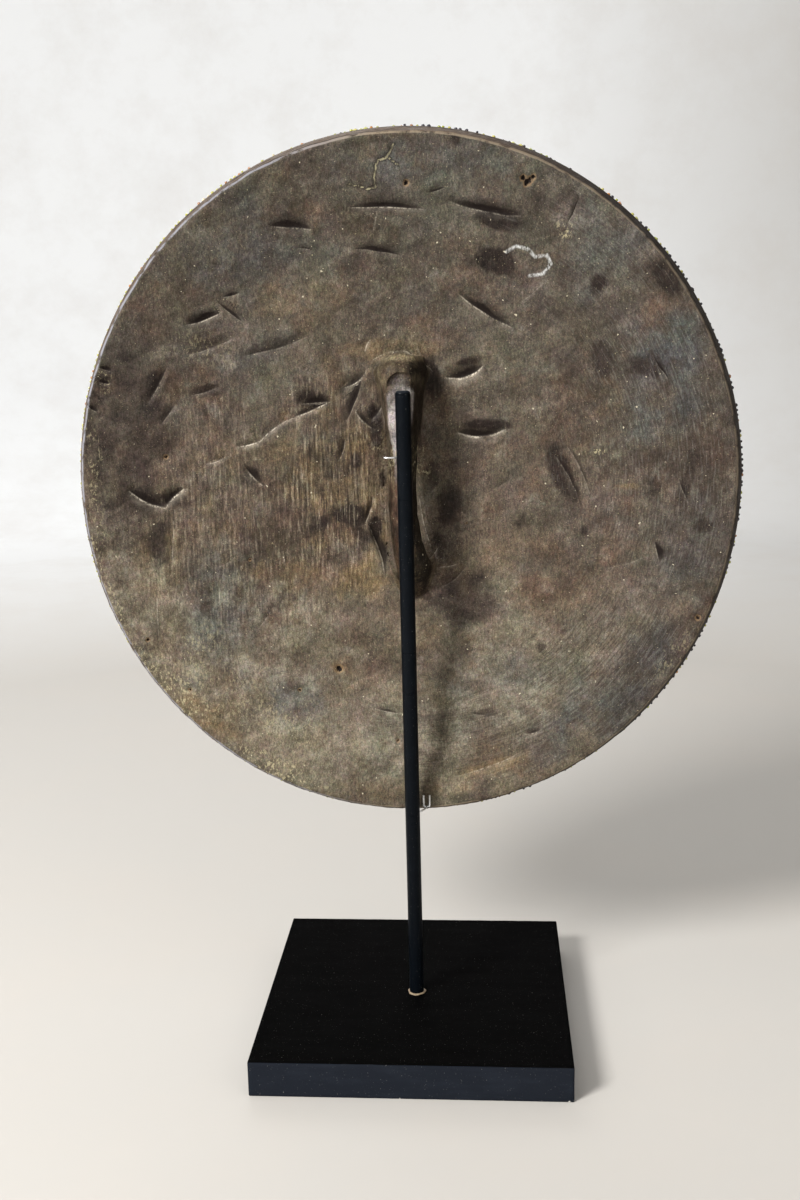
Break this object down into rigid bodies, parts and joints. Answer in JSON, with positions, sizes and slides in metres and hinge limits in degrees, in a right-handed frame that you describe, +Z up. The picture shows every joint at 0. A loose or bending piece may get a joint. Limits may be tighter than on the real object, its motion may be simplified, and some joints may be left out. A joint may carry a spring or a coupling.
{
  "type": "beaded wooden shield on a display stand",
  "caption": "Dished round wooden shield with a carved grip behind and beadwork in front, held upright by a rod on a square block.",
  "frame": {"origin": "middle of the base block's underside", "axes": "+Z up, -Y towards the side with the grip and the rod, +Y towards the beaded front"},
  "size_m": [0.534, 0.25, 0.7309],
  "materials": {
    "black_painted_wood": "satin black paint",
    "black_painted_steel": "satin black paint",
    "glue": "dried glue",
    "bright_wire": "bright",
    "carved_wood": "worn, dark and dusty",
    "lime_beads": "glossy",
    "dark_beads": "glossy",
    "amber_beads": "glossy",
    "cream_beads": "glossy"
  },
  "bodies": {
    "root": {"base_block": "black_painted_wood", "support_rod": "black_painted_steel", "foot_seal": "glue", "rim_clip": "bright_wire", "handle_clip": "bright_wire", "shield_board": "carved_wood", "edge_beads": "lime_beads", "outer_band_beads": "dark_beads", "zigzag_band_beads": "amber_beads", "inner_band_beads": "lime_beads", "centre_beads": "cream_beads"}
  },
  "joints": []
}
